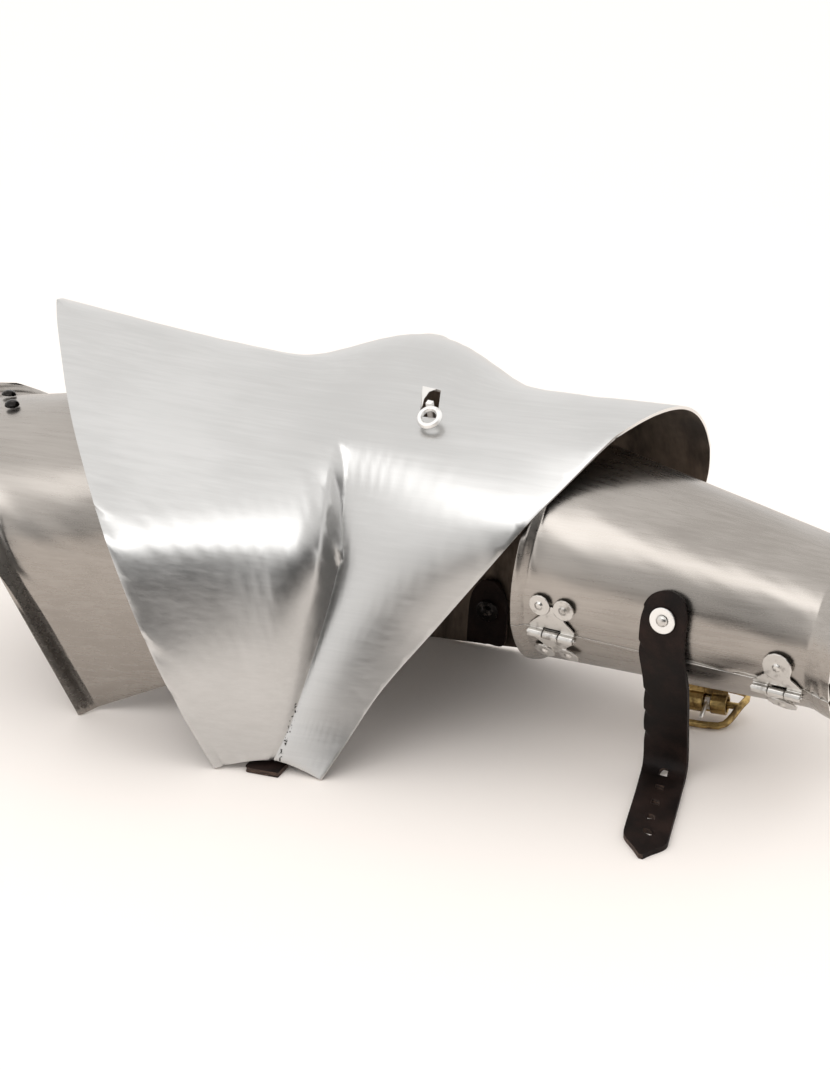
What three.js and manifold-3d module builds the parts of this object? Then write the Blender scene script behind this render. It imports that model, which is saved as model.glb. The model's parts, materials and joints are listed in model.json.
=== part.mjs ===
// Plate armour for one arm, lying on its side: elbow guard, upper arm plate and hinged forearm tube.
// Millimetres, +Z up, +X from the shoulder to the wrist, -Y towards the crook of the elbow.
import * as THREE from 'three';
import { mergeVertices } from 'three/addons/utils/BufferGeometryUtils.js';
import Module from 'manifold-3d';

const wasm = await Module();
wasm.setup();

// Driving dimensions
const STEEL = 1.5;
const LEATHER = 2.6;
const GAP = 0.35;
const ELBOW_HEIGHT = 95;
const WELD = 1e-4;
const ROUND = { large: 14, small: 8 };

// Shape of a domed rivet head, as shares of its radius and height
const HEAD_SHAPE = [
  { radius: 0, height: 0 },
  { radius: 1, height: 0 },
  { radius: 0.92, height: 0.45 },
  { radius: 0.55, height: 0.88 },
  { radius: 0, height: 1 },
];

// Elbow guard
const GUARD_ROWS = 28;
const GUARD_COLUMNS = 24;
const COLUMNS_AT_CREASE = 0.6;
const DOME = { x: 6, y: 36, z: 136, radius: 66, height: 27, fullness: 0.8 };
const PLEAT = { depth: 22, roll: 20, leaf: 76, fadeFrom: 0.54, fadeTo: 0.74, footFrom: 0.7, footDepth: 0.14 };
const SLOT = {
  fromRow: 0.466, toRow: 0.511, fromColumn: 0.2, toColumn: 0.268, upperShift: -0.026, lowerShift: 0.03, step: 0.02,
};
const FLARE_POWER = 1.7;

// Ribs of the guard from the far foot over the crest to the near foot, each through three points
const GUARD_RIBS = [
  { shoulder: [-52, 58, 3], crease: [0, 54, 0], wrist: [50, 53, 2] },
  { shoulder: [-105, 64, 33], crease: [0, 58, 30], wrist: [92, 57, 33] },
  { shoulder: [-146, 66, 72], crease: [0, 57, 65], wrist: [126, 56, 70] },
  { shoulder: [-166, 61, 108], crease: [0, 53, 98], wrist: [141, 51, 104] },
  { shoulder: [-175, 50, 140], crease: [0, 43, 126], wrist: [144.5, 42, 128] },
  { shoulder: [-178, 32, 163], crease: [0, 27, 148], wrist: [143, 26, 150] },
  { shoulder: [-176, 8, 173], crease: [-2, 3, 160], wrist: [137, 6, 161] },
  { shoulder: [-157, -28, 163], crease: [-3, -25, 154], wrist: [122, -28, 160] },
  { shoulder: [-139, -58, 146], crease: [-2, -48, 145], wrist: [104, -48, 140.6] },
  { shoulder: [-120, -83, 127], crease: [0, -70, 128], wrist: [86.6, -66.3, 120.8] },
  { shoulder: [-99, -107.5, 105.6], crease: [2, -90.5, 105], wrist: [70.8, -75, 98] },
  { shoulder: [-84, -114.5, 76.4], crease: [-1, -99.5, 76], wrist: [51, -84.3, 68.5] },
  { shoulder: [-71.1, -117.2, 50.4], crease: [-6, -103.5, 48.5], wrist: [30.6, -95.6, 42.5] },
  { shoulder: [-59.8, -115.4, 26.6], crease: [-12, -105.4, 24], wrist: [17.4, -101.7, 21] },
  { shoulder: [-45, -114, 0.6], crease: [-19, -108.5, 6], wrist: [5.5, -109.5, 1.3] },
];

// Upper arm plate, a gutter with straight legs
const UPPER_ARM = {
  sideways: 0.14, droop: 0.148, radiusAtElbow: 60, radiusGrowth: 0.03, elbowEnd: -62,
  footStart: -125, footRise: 0.43, footHeight: 0.5, legRows: 3, archRows: 12, bodyColumns: 5,
};
const UPPER_ARM_RIM_LINE = [
  { height: 0, x: -119 },
  { height: 24, x: -132 },
  { height: 77, x: -158 },
  { height: 101, x: -170 },
  { height: 118, x: -192 },
  { height: 130, x: -222 },
  { height: 140, x: -232 },
];
const UPPER_ARM_RIM = [
  { back: 7, flare: 6.5 },
  { back: 5, flare: 5 },
  { back: 2, flare: 1.6 },
  { back: 0, flare: 0 },
];

// Forearm tube
const FOREARM = { x: 0.986, y: -0.146, z: -0.081, start: 92, lift: 4.5, angleRows: 14 };
const FOREARM_PROFILE = [
  { along: 0, radius: 55.2 },
  { along: 2.6, radius: 54.6 },
  { along: 5.6, radius: 52.2 },
  { along: 8, radius: 51.8 },
  { along: 40, radius: 48.3 },
  { along: 72, radius: 45 },
  { along: 104, radius: 41.7 },
  { along: 134, radius: 38.3 },
  { along: 137, radius: 38.2 },
  { along: 140, radius: 39.2 },
  { along: 145, radius: 40.4 },
  { along: 149, radius: 41 },
];
const FOREARM_LENGTH = 149;
const NEAR_SEAM = { elbow: 111, wrist: 115.5 };
const FAR_SEAM = -100;
const SEAM_GAP = 0.4;

// Hinges on the near seam: barrel, neck and round lobes
const HINGE = {
  barrelRadius: 2.2, holeRadius: 1.15, pinRadius: 0.8, stand: 2.75, leaf: 0.9, segments: 8,
  pinOver: 0.8, tabReach: 3.6, tabRoot: 1, neckBase: 2.7, neckRows: 4, neckColumns: 4, lobeStand: 0.9,
};
const NECK_WIDTHS = [
  { height: 0, share: 1 },
  { height: 0.2, share: 0.84 },
  { height: 0.5, share: 0.52 },
  { height: 1, share: 0.5 },
];
const HINGES = [
  { name: 'elbow', along: 19.3, below: 0.6, barrel: 22, neck: 14.8, lobeRadius: 5.2, lobes: [-5.7, 5.7] },
  { name: 'wrist', along: 124.6, below: 3, barrel: 23, neck: 13.8, lobeRadius: 7.1, lobes: [0] },
];
const LEAF_RIVET = { radius: 2.5, height: 1.1 };

// Closing strap, from its rivet down to the floor and forward to its tip
const STRAP = {
  along: 72.2, topAngle: 69, rivetAngle: 85, leaveAngle: 108, shellRows: 7, clear: 1.4,
  halfWidth: 10.8, columns: 5, thinnest: 0.1,
};
const STRAP_DROP = [
  { x: 154, y: -61, z: 52 },
  { x: 152.6, y: -53, z: 30 },
  { x: 151.6, y: -47.5, z: 13 },
  { x: 151.6, y: -47.5, z: 6 },
  { x: 152.2, y: -52, z: 2.9 },
  { x: 152.9, y: -57, z: LEATHER },
  { x: 155.4, y: -73, z: LEATHER },
  { x: 159.2, y: -100, z: LEATHER },
  { x: 161.3, y: -114, z: LEATHER },
  { x: 163, y: -126, z: LEATHER },
];
const STRAP_ROWS = 40;
const STRAP_TOP_ROWS = [0, 0.004, 0.012];
const STRAP_TIP = 13;
const STRAP_END = 10;
const STRAP_HOLES = { first: 25, step: 3, count: 5, column: 2 };
const WASHER = { radius: 6.3, hole: 2.6, height: 1 };
const STRAP_RIVET = { radius: 2.9, height: 1.6, shank: 2.1, shoulderRadius: 0.8, shoulderHeight: 1.1 };

// Buckle hanging from the lower shell, its front bar on the floor
const BUCKLE = { x: 155, barY: 16.2, barZ: 7.6, barHalf: 15.5, wire: 1.8, steps: 30, curveSegments: 4 };
const BUCKLE_LOOP = [
  { x: 139, y: 5.4, z: 2.3 },
  { x: 144, y: 3.8, z: 1.9 },
  { x: 160, y: 3.8, z: 1.9 },
  { x: 165.5, y: 5.6, z: 2.3 },
  { x: 170.5, y: 16.2, z: 7.6 },
  { x: 172.5, y: 24, z: 10.2 },
  { x: 165, y: 26, z: 10.8 },
  { x: 145, y: 26, z: 10.8 },
  { x: 137.5, y: 24, z: 10.2 },
  { x: 139.5, y: 16.2, z: 7.6 },
];
const CHAPE = {
  outer: 5.2, inner: 4, halfWidth: 9.5, slotHalf: 2, neck: 1.2, neckBottom: 12.4, neckTop: 25, rivetZ: 20,
};
const PRONG = {
  radius: 1.1, eyeOuter: 3.5, eyeInner: 2.2, eyeWidth: 2.6, rootY: 13.4, rootZ: 8.4,
  tipY: 2.6, tipZ: 5.6, taper: 0.6, taperLength: 1, segments: 8,
};
const BUCKLE_STRAP = {
  along: 66, rivetAngle: 253, fromAngle: 258, toAngle: 246, shellRows: 3, clear: 2.4,
  halfWidth: 9, rows: 12, columns: 2,
};
const BUCKLE_DROP = [
  { y: 21.8, z: 42 },
  { y: 20.6, z: 29 },
  { y: 19.4, z: 14 },
];
const SMALL_RIVET = { radius: 2.4, height: 1.3 };

// Guard fastening
const RING = {
  radius: 4.7, wire: 1.5, tubeSegments: 6, segments: 18, below: 13, aside: -7.2, stand: 4.6, lean: -18,
};
const LUG = { width: 3, depth: 2.6, height: 9, below: 3.4, aside: -2.4, stand: 0.4 };

// Elbow strap inside the far foot and leather end under the near foot
const ELBOW_STRAP_PATH = [
  { x: 32, y: 52.4, z: 36 },
  { x: 32, y: 52.2, z: 33 },
  { x: 32, y: 51.8, z: 28 },
  { x: 32, y: 51.2, z: 20 },
  { x: 32, y: 49.6, z: 10 },
  { x: 32, y: 48.2, z: 2.6 },
];
const ELBOW_STRAP_WIDTHS = [3, 6.4, 9.2, 10.2, 10.2, 10.2];
const ELBOW_RIVET = { y: 50.4, z: 20.4, washer: 6, washerHeight: 1, radius: 3.4, height: 2.2 };
const ELBOW_TAB_PATH = [
  { x: -22, y: -97.2, z: 24 },
  { x: -22, y: -97.8, z: 10 },
  { x: -22, y: -99, z: 5 },
  { x: -22.2, y: -101.4, z: 2.9 },
  { x: -22.5, y: -106, z: LEATHER },
  { x: -23, y: -111.5, z: LEATHER },
];
const ELBOW_TAB_HALF_WIDTH = 8.6;
const ELBOW_COLUMNS = 4;

// Rivets of the upper arm plate
const SHOULDER_RIVETS = [
  { x: -192, turn: -9.5 },
  { x: -182.5, turn: 5.5 },
];
const DOME_RIVET = { radius: 3.8, height: 2.6 };

// Inner leathers that join the plates on the far side
const INNER_LEATHER = { halfWidth: 9, rows: 8, columns: 2 };
const INNER_LEATHERS = [
  {
    name: 'upper_leather',
    z: 76,
    path: [
      { x: -24, y: 52.2 },
      { x: -45, y: 51 },
      { x: -60, y: 48.6 },
      { x: -80, y: 46.2 },
      { x: -112, y: 42.4 },
    ],
  },
  {
    name: 'lower_leather',
    z: 97,
    path: [
      { x: 128, y: 24.6 },
      { x: 98, y: 32.8 },
      { x: 84, y: 39 },
      { x: 62, y: 46 },
      { x: 38, y: 48.6 },
    ],
  },
];

const finish = {
  steel: new THREE.MeshStandardMaterial({ color: 0xb9b4ad, roughness: 0.32, metalness: 1 }),
  bright: new THREE.MeshStandardMaterial({ color: 0xd2cfca, roughness: 0.3, metalness: 1 }),
  black: new THREE.MeshStandardMaterial({ color: 0x1d1a19, roughness: 0.35, metalness: 0.8 }),
  leather: new THREE.MeshStandardMaterial({ color: 0x2e201a, roughness: 0.65, metalness: 0 }),
  brass: new THREE.MeshStandardMaterial({ color: 0x9a7a3c, roughness: 0.35, metalness: 1 }),
};

const arm = new THREE.Group();
arm.name = 'arm';

function addPiece(name, geometry, material) {
  const mesh = new THREE.Mesh(geometry, material);
  mesh.name = name;
  arm.add(mesh);
  return mesh;
}

function smoothStep(from, to, value) {
  const share = THREE.MathUtils.clamp((value - from) / (to - from), 0, 1);
  return share * share * (3 - 2 * share);
}

function radians(degrees) {
  return THREE.MathUtils.degToRad(degrees);
}

// A table read at any value of its first column, straight between its rows
function readTable(table, key, column, value) {
  for (let i = 1; i < table.length; i += 1) {
    const low = table[i - 1];
    const high = table[i];
    if (value <= high[key]) {
      const share = (value - low[key]) / (high[key] - low[key]);
      return THREE.MathUtils.lerp(low[column], high[column], share);
    }
  }
  return table[table.length - 1][column];
}

// Outward direction at every point of a net of points
function netNormals(net) {
  const lastRow = net.length - 1;
  return net.map((row, i) => row.map((point, j) => {
    const lastColumn = row.length - 1;
    const nextRow = net[Math.min(i + 1, lastRow)];
    const rowBefore = net[Math.max(i - 1, 0)];
    const across = new THREE.Vector3().subVectors(nextRow[j], rowBefore[j]);
    const along = new THREE.Vector3().subVectors(row[Math.min(j + 1, lastColumn)], row[Math.max(j - 1, 0)]);
    return across.cross(along).normalize();
  }));
}

// A closed sheet whose outer face is the net and whose inner face lies one thickness inside it
function sheet(net, thickness, windows = []) {
  const rows = net.length;
  const columns = net[0].length;
  const normals = netNormals(net);
  const positions = [];
  net.forEach((row) => row.forEach((point) => positions.push(point.x, point.y, point.z)));
  net.forEach((row, i) => row.forEach((point, j) => {
    const inner = point.clone().addScaledVector(normals[i][j], -thickness);
    positions.push(inner.x, inner.y, inner.z);
  }));
  const outer = (i, j) => i * columns + j;
  const inner = (i, j) => rows * columns + i * columns + j;
  const inWindow = (i, j) => windows.some((w) => i >= w.row && i < w.row + w.rows
    && j >= w.column && j < w.column + w.columns);
  const isOpen = (i, j) => i < 0 || j < 0 || i >= rows - 1 || j >= columns - 1 || inWindow(i, j);
  const index = [];
  const quad = (a, b, c, d) => index.push(a, b, c, a, c, d);
  const wall = (i, j, k, l) => quad(outer(i, j), outer(k, l), inner(k, l), inner(i, j));
  for (let i = 0; i < rows - 1; i += 1) {
    for (let j = 0; j < columns - 1; j += 1) {
      if (!isOpen(i, j)) {
        quad(outer(i, j), outer(i + 1, j), outer(i + 1, j + 1), outer(i, j + 1));
        quad(inner(i, j), inner(i, j + 1), inner(i + 1, j + 1), inner(i + 1, j));
        if (isOpen(i - 1, j)) wall(i, j, i, j + 1);
        if (isOpen(i + 1, j)) wall(i + 1, j + 1, i + 1, j);
        if (isOpen(i, j - 1)) wall(i + 1, j, i, j);
        if (isOpen(i, j + 1)) wall(i, j + 1, i + 1, j + 1);
      }
    }
  }
  const geometry = new THREE.BufferGeometry();
  geometry.setAttribute('position', new THREE.Float32BufferAttribute(positions, 3));
  geometry.setIndex(index);
  geometry.computeVertexNormals();
  return geometry;
}

// Joining solids
function toSolid(geometry) {
  const bare = new THREE.BufferGeometry();
  bare.setAttribute('position', geometry.getAttribute('position'));
  bare.setIndex(geometry.getIndex());
  const merged = mergeVertices(bare, WELD);
  return new wasm.Manifold(new wasm.Mesh({
    numProp: 3,
    vertProperties: new Float32Array(merged.getAttribute('position').array),
    triVerts: new Uint32Array(merged.getIndex().array),
  }));
}

function toGeometry(solid) {
  const mesh = solid.getMesh();
  const geometry = new THREE.BufferGeometry();
  geometry.setAttribute('position', new THREE.Float32BufferAttribute(mesh.vertProperties, 3));
  geometry.setIndex([...mesh.triVerts]);
  geometry.computeVertexNormals();
  return geometry;
}

function joined(geometries) {
  return toGeometry(geometries.map(toSolid).reduce((sum, next) => sum.add(next)));
}

// A turned piece whose axis points along a direction, with its profile's zero height at a point
function turned(profile, point, direction, segments) {
  const outline = profile.map(([radius, height]) => new THREE.Vector2(radius, height));
  const geometry = new THREE.LatheGeometry(outline, segments);
  const turn = new THREE.Quaternion().setFromUnitVectors(new THREE.Vector3(0, 1, 0), direction);
  geometry.applyQuaternion(turn);
  geometry.translate(point.x, point.y, point.z);
  return mergeVertices(geometry, WELD);
}

function domeProfile(radius, height) {
  return HEAD_SHAPE.map((point) => [radius * point.radius, height * point.height]);
}

function ringProfile(outerRadius, innerRadius, height) {
  return [[innerRadius, 0], [outerRadius, 0], [outerRadius, height], [innerRadius, height], [innerRadius, 0]];
}

// Elbow guard
const guides = ['shoulder', 'crease', 'wrist'].map((guide) => new THREE.CatmullRomCurve3(
  GUARD_RIBS.map((rib) => new THREE.Vector3(...rib[guide])),
));

function guardBase(v, t) {
  const [shoulder, crease, wrist] = guides.map((guide) => guide.getPoint(v));
  const rim = t < 0 ? shoulder : wrist;
  const flare = Math.abs(t) ** FLARE_POWER;
  return new THREE.Vector3(
    THREE.MathUtils.lerp(crease.x, rim.x, Math.abs(t)),
    THREE.MathUtils.lerp(crease.y, rim.y, flare),
    THREE.MathUtils.lerp(crease.z, rim.z, flare),
  );
}

function guardNormal(v, t) {
  const step = 0.01;
  const across = guardBase(Math.min(v + step, 1), t).sub(guardBase(Math.max(v - step, 0), t));
  const along = guardBase(v, t + step).sub(guardBase(v, t - step));
  return across.cross(along).normalize();
}

function guardRelief(v, t) {
  const base = guardBase(v, t);
  const reach = base.distanceTo(new THREE.Vector3(DOME.x, DOME.y, DOME.z)) / DOME.radius;
  const dome = reach < 1 ? DOME.height * (0.5 + 0.5 * Math.cos(Math.PI * reach)) ** DOME.fullness : 0;
  const side = base.x - guardBase(v, 0).x;
  const inRoll = 1 - THREE.MathUtils.clamp(-side / PLEAT.roll, 0, 1);
  const rolled = 1 - Math.sqrt(1 - inRoll ** 2);
  const leaf = THREE.MathUtils.clamp(1 - side / PLEAT.leaf, 0, 1);
  const footShare = THREE.MathUtils.lerp(1, PLEAT.footDepth, smoothStep(PLEAT.footFrom, 1, v));
  const depth = PLEAT.depth * smoothStep(PLEAT.fadeFrom, PLEAT.fadeTo, v) * footShare;
  return dome - depth * (side < 0 ? rolled : leaf);
}

function guardPoint(v, t) {
  return guardBase(v, t).addScaledVector(guardNormal(v, t), guardRelief(v, t));
}

const guardColumnShares = Array.from({ length: GUARD_COLUMNS + 1 }, (unused, j) => {
  const even = (2 * j) / GUARD_COLUMNS - 1;
  return even * THREE.MathUtils.lerp(COLUMNS_AT_CREASE, 1, even * even);
});
const guardRowShares = Array.from({ length: GUARD_ROWS + 1 }, (unused, i) => i / GUARD_ROWS);

// The net's line nearest to a value moves onto it, so that the slot's edges are lines of the net
function snapLine(shares, value) {
  const distances = shares.map((share) => Math.abs(share - value));
  const nearest = distances.indexOf(Math.min(...distances));
  shares[nearest] = value;
  return nearest;
}
const slotLines = {
  row: snapLine(guardRowShares, SLOT.fromRow),
  lastRow: snapLine(guardRowShares, SLOT.toRow),
  column: snapLine(guardColumnShares, SLOT.fromColumn),
  lastColumn: snapLine(guardColumnShares, SLOT.toColumn),
};
const slotWindow = {
  row: slotLines.row, rows: slotLines.lastRow - slotLines.row,
  column: slotLines.column, columns: slotLines.lastColumn - slotLines.column,
};
// The slot's upper corners move towards the shoulder and its lower ones to the wrist, so it stands upright
const slotShifts = { [slotLines.row]: SLOT.upperShift, [slotLines.lastRow]: SLOT.lowerShift };
function slotShift(i, j) {
  const atSlot = j === slotLines.column || j === slotLines.lastColumn;
  return atSlot ? slotShifts[i] ?? 0 : 0;
}
const guardNet = guardRowShares.map((v, i) => (
  guardColumnShares.map((t, j) => guardPoint(v, t + slotShift(i, j)))
));
addPiece('elbow_guard', sheet(guardNet, STEEL, [slotWindow]), finish.steel);

// Guard fastening: a lug in the slot and a wire ring below it
const slotShare = {
  v: (SLOT.fromRow + SLOT.toRow) / 2,
  t: (SLOT.fromColumn + SLOT.toColumn) / 2,
};
const slotPoint = guardPoint(slotShare.v, slotShare.t);
const slotNormal = guardNormal(slotShare.v, slotShare.t);
const slotDown = guardPoint(slotShare.v + SLOT.step, slotShare.t).sub(slotPoint).normalize();
const slotAlong = new THREE.Vector3().crossVectors(slotDown, slotNormal).normalize();
const slotFrame = new THREE.Matrix4().makeBasis(slotAlong, slotDown, slotNormal).setPosition(slotPoint);
const lug = new THREE.BoxGeometry(LUG.width, LUG.depth, LUG.height);
lug.translate(LUG.aside, LUG.below, LUG.stand);
lug.applyMatrix4(slotFrame);
addPiece('guard_lug', lug, finish.bright);

const ring = new THREE.TorusGeometry(RING.radius, RING.wire, RING.tubeSegments, RING.segments);
const ringLie = new THREE.Matrix4().makeRotationX(radians(RING.lean));
ringLie.setPosition(RING.aside, RING.below, RING.stand);
ring.applyMatrix4(ringLie);
ring.applyMatrix4(slotFrame);
addPiece('guard_ring', mergeVertices(ring, WELD), finish.bright);

// Upper arm plate
function upperArmPoint(x, turn, leg, flare) {
  const radius = UPPER_ARM.radiusAtElbow + UPPER_ARM.radiusGrowth * (UPPER_ARM.elbowEnd - x);
  const foot = UPPER_ARM.footHeight + Math.max(0, (x - UPPER_ARM.footStart) * UPPER_ARM.footRise);
  const centreHeight = ELBOW_HEIGHT + UPPER_ARM.droop * x;
  const arch = centreHeight + (radius + flare) * Math.cos(turn);
  const height = leg > 0 ? THREE.MathUtils.lerp(centreHeight, foot, leg) : arch;
  return new THREE.Vector3(x, UPPER_ARM.sideways * x - (radius + flare) * Math.sin(turn), height);
}

function upperArmRim(height) {
  return readTable(UPPER_ARM_RIM_LINE, 'height', 'x', height);
}

const legShares = Array.from({ length: UPPER_ARM.legRows }, (unused, i) => (i + 1) / UPPER_ARM.legRows);
const archTurns = Array.from({ length: UPPER_ARM.archRows + 1 }, (unused, i) => (
  Math.PI * (i / UPPER_ARM.archRows - 0.5)
));
const upperArmStations = [
  ...[...legShares].reverse().map((leg) => ({ turn: -Math.PI / 2, leg })),
  ...archTurns.map((turn) => ({ turn, leg: 0 })),
  ...legShares.map((leg) => ({ turn: Math.PI / 2, leg })),
];

const upperArmNet = upperArmStations.map(({ turn, leg }) => {
  const guess = upperArmRim(upperArmPoint(UPPER_ARM.footStart, turn, leg, 0).z);
  const rim = upperArmRim(upperArmPoint(guess, turn, leg, 0).z);
  const rimPoints = UPPER_ARM_RIM.map(({ back, flare }) => {
    const point = upperArmPoint(rim - back, turn, leg, flare);
    point.z = Math.max(point.z, UPPER_ARM.footHeight);
    return point;
  });
  const bodyPoints = Array.from({ length: UPPER_ARM.bodyColumns }, (unused, j) => {
    const x = THREE.MathUtils.lerp(rim, UPPER_ARM.elbowEnd, (j + 1) / UPPER_ARM.bodyColumns);
    return upperArmPoint(x, turn, leg, 0);
  });
  return [...rimPoints, ...bodyPoints];
});
addPiece('upper_arm_plate', sheet(upperArmNet, STEEL), finish.steel);

SHOULDER_RIVETS.forEach(({ x, turn }, i) => {
  const point = upperArmPoint(x, radians(turn), 0, GAP);
  const normal = new THREE.Vector3(0, -Math.sin(radians(turn)), Math.cos(radians(turn)));
  const head = domeProfile(DOME_RIVET.radius, DOME_RIVET.height);
  addPiece(`shoulder_rivet_${i + 1}`, turned(head, point, normal, ROUND.large), finish.black);
});

// Forearm tube
const forearmAxis = new THREE.Vector3(FOREARM.x, FOREARM.y, FOREARM.z).normalize();
const forearmNear = new THREE.Vector3(forearmAxis.y, -forearmAxis.x, 0).normalize();
const forearmUp = new THREE.Vector3().crossVectors(forearmAxis, forearmNear).negate().normalize();
const forearmStart = new THREE.Vector3(0, 0, ELBOW_HEIGHT + FOREARM.lift);
forearmStart.addScaledVector(forearmAxis, FOREARM.start);

function forearmOut(angle) {
  const turn = radians(angle);
  return forearmUp.clone().multiplyScalar(Math.cos(turn)).addScaledVector(forearmNear, Math.sin(turn));
}

function forearmPoint(along, angle, stand) {
  const radius = readTable(FOREARM_PROFILE, 'along', 'radius', along) + stand;
  return forearmStart.clone().addScaledVector(forearmAxis, along).addScaledVector(forearmOut(angle), radius);
}

function nearSeam(along) {
  return THREE.MathUtils.lerp(NEAR_SEAM.elbow, NEAR_SEAM.wrist, along / FOREARM_LENGTH);
}

function seamTurn(along) {
  return THREE.MathUtils.radToDeg(SEAM_GAP / 2 / readTable(FOREARM_PROFILE, 'along', 'radius', along));
}

function forearmShell(fromAngle, toAngle) {
  return Array.from({ length: FOREARM.angleRows + 1 }, (unused, i) => FOREARM_PROFILE.map(({ along }) => {
    const low = fromAngle(along) + seamTurn(along);
    const high = toAngle(along) - seamTurn(along);
    return forearmPoint(along, THREE.MathUtils.lerp(low, high, i / FOREARM.angleRows), 0);
  }));
}
addPiece('forearm_upper_shell', sheet(forearmShell(() => FAR_SEAM, nearSeam), STEEL), finish.steel);
addPiece('forearm_lower_shell', sheet(forearmShell(nearSeam, () => FAR_SEAM + 360), STEEL), finish.steel);

// Hinges
// A point on the tube a given distance round from a hinge's own line, which lies just below the near seam
function besideHinge(hinge, along, side, distance, stand) {
  const radius = readTable(FOREARM_PROFILE, 'along', 'radius', along);
  const turn = THREE.MathUtils.radToDeg((hinge.below + side * distance) / radius);
  const angle = nearSeam(along) + turn;
  return { point: forearmPoint(along, angle, stand), out: forearmOut(angle) };
}

const hingeEnds = HINGES.map((hinge) => besideHinge(hinge, hinge.along, 0, 0, HINGE.stand).point);
const hingeAxis = new THREE.Vector3().subVectors(hingeEnds[1], hingeEnds[0]).normalize();

function knuckle(centre, length) {
  const start = centre.clone().addScaledVector(hingeAxis, -length / 2);
  return turned(ringProfile(HINGE.barrelRadius, HINGE.holeRadius, length), start, hingeAxis, HINGE.segments);
}

function neckNet(hinge, side) {
  return Array.from({ length: HINGE.neckRows + 1 }, (unused, i) => {
    const share = side > 0 ? i / HINGE.neckRows : 1 - i / HINGE.neckRows;
    const halfWidth = readTable(NECK_WIDTHS, 'height', 'share', share) * (hinge.barrel / 2);
    const height = THREE.MathUtils.lerp(HINGE.neckBase, hinge.neck, share);
    return Array.from({ length: HINGE.neckColumns + 1 }, (alsoUnused, j) => {
      const along = hinge.along + halfWidth * ((2 * j) / HINGE.neckColumns - 1);
      return besideHinge(hinge, along, side, height, GAP + HINGE.leaf).point;
    });
  });
}

function leafTab(hinge, side, shift, width) {
  const heights = [HINGE.tabRoot, HINGE.tabReach];
  const rows = side > 0 ? heights : [...heights].reverse();
  return sheet(rows.map((height) => [-width / 2, width / 2].map((offset) => {
    const along = hinge.along + shift + offset;
    return besideHinge(hinge, along, side, height, GAP + HINGE.leaf).point;
  })), HINGE.leaf);
}

function leafLobes(hinge, side) {
  return hinge.lobes.flatMap((spread) => {
    const { point, out } = besideHinge(hinge, hinge.along + spread, side, hinge.neck, HINGE.lobeStand);
    const plate = [[0, 0], [hinge.lobeRadius, 0], [hinge.lobeRadius, HINGE.leaf], [0, HINGE.leaf]];
    const head = domeProfile(LEAF_RIVET.radius, LEAF_RIVET.height + HINGE.leaf);
    return [turned(plate, point, out, ROUND.large), turned(head, point, out, ROUND.small)];
  });
}

HINGES.forEach((hinge, i) => {
  const centre = hingeEnds[i];
  const third = hinge.barrel / 3;
  const knuckleLength = third - GAP;
  const knuckleAt = (shift) => knuckle(centre.clone().addScaledVector(hingeAxis, shift), knuckleLength);
  const leaf = (side, shifts) => joined([
    sheet(neckNet(hinge, side), HINGE.leaf),
    ...shifts.map((shift) => leafTab(hinge, side, shift, knuckleLength - GAP)),
    ...shifts.map(knuckleAt),
    ...leafLobes(hinge, side),
  ]);
  addPiece(`hinge_${hinge.name}_upper_leaf`, leaf(-1, [-third, third]), finish.bright);
  addPiece(`hinge_${hinge.name}_lower_leaf`, leaf(1, [0]), finish.bright);
  const pinLength = hinge.barrel + HINGE.pinOver;
  const pinStart = centre.clone().addScaledVector(hingeAxis, -pinLength / 2);
  const pinProfile = [[0, 0], [HINGE.pinRadius, 0], [HINGE.pinRadius, pinLength], [0, pinLength]];
  addPiece(`hinge_${hinge.name}_pin`, turned(pinProfile, pinStart, hingeAxis, HINGE.segments), finish.bright);
});

// A strap along a path of its outer face, with its half width at each step
function ribbon(path, across, halfWidths, columns, thickness, windows) {
  const net = path.map((point, i) => Array.from({ length: columns + 1 }, (unused, j) => {
    const shift = halfWidths[i] * ((2 * j) / columns - 1);
    return point.clone().addScaledVector(across, shift);
  }));
  return sheet(net, thickness, windows);
}

const sameWidth = (path, halfWidth) => path.map(() => halfWidth);
const toVector = ({ x, y, z }) => new THREE.Vector3(x, y, z);

// Points just off the tube where a strap lies against it
function alongTube(strap, fromAngle, toAngle, stand) {
  return Array.from({ length: strap.shellRows }, (unused, i) => {
    const angle = THREE.MathUtils.lerp(fromAngle, toAngle, i / (strap.shellRows - 1));
    return forearmPoint(strap.along, angle, stand);
  });
}

// Closing strap
const strapStand = STRAP.clear + LEATHER;
const strapStart = alongTube(STRAP, STRAP.topAngle, STRAP.leaveAngle, strapStand);
const strapCurve = new THREE.CatmullRomCurve3([...strapStart, ...STRAP_DROP.map(toVector)]);
const strapShares = [
  ...STRAP_TOP_ROWS,
  ...Array.from({ length: STRAP_ROWS }, (unused, i) => (i + 1) / STRAP_ROWS),
];
const strapPath = strapShares.map((share) => strapCurve.getPointAt(share));
strapPath.forEach((point) => {
  point.z = Math.max(point.z, LEATHER);
});
const strapLength = strapCurve.getLength();
const strapWidths = strapPath.map((point, i) => {
  const fromTop = strapLength * strapShares[i];
  const toTip = strapLength - fromTop;
  const rounded = fromTop < STRAP_END ? Math.sqrt(1 - (1 - fromTop / STRAP_END) ** 2) : 1;
  const pointed = Math.min(1, toTip / STRAP_TIP);
  return STRAP.halfWidth * Math.max(STRAP.thinnest, Math.min(rounded, pointed));
});
const strapHoles = Array.from({ length: STRAP_HOLES.count }, (unused, i) => ({
  row: STRAP_HOLES.first + i * STRAP_HOLES.step, rows: 1, column: STRAP_HOLES.column, columns: 1,
}));
const strapAcross = forearmAxis.clone().setZ(0).normalize();
const strapSheet = ribbon(strapPath, strapAcross, strapWidths, STRAP.columns, LEATHER, strapHoles);
addPiece('closing_strap', strapSheet, finish.leather);

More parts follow.
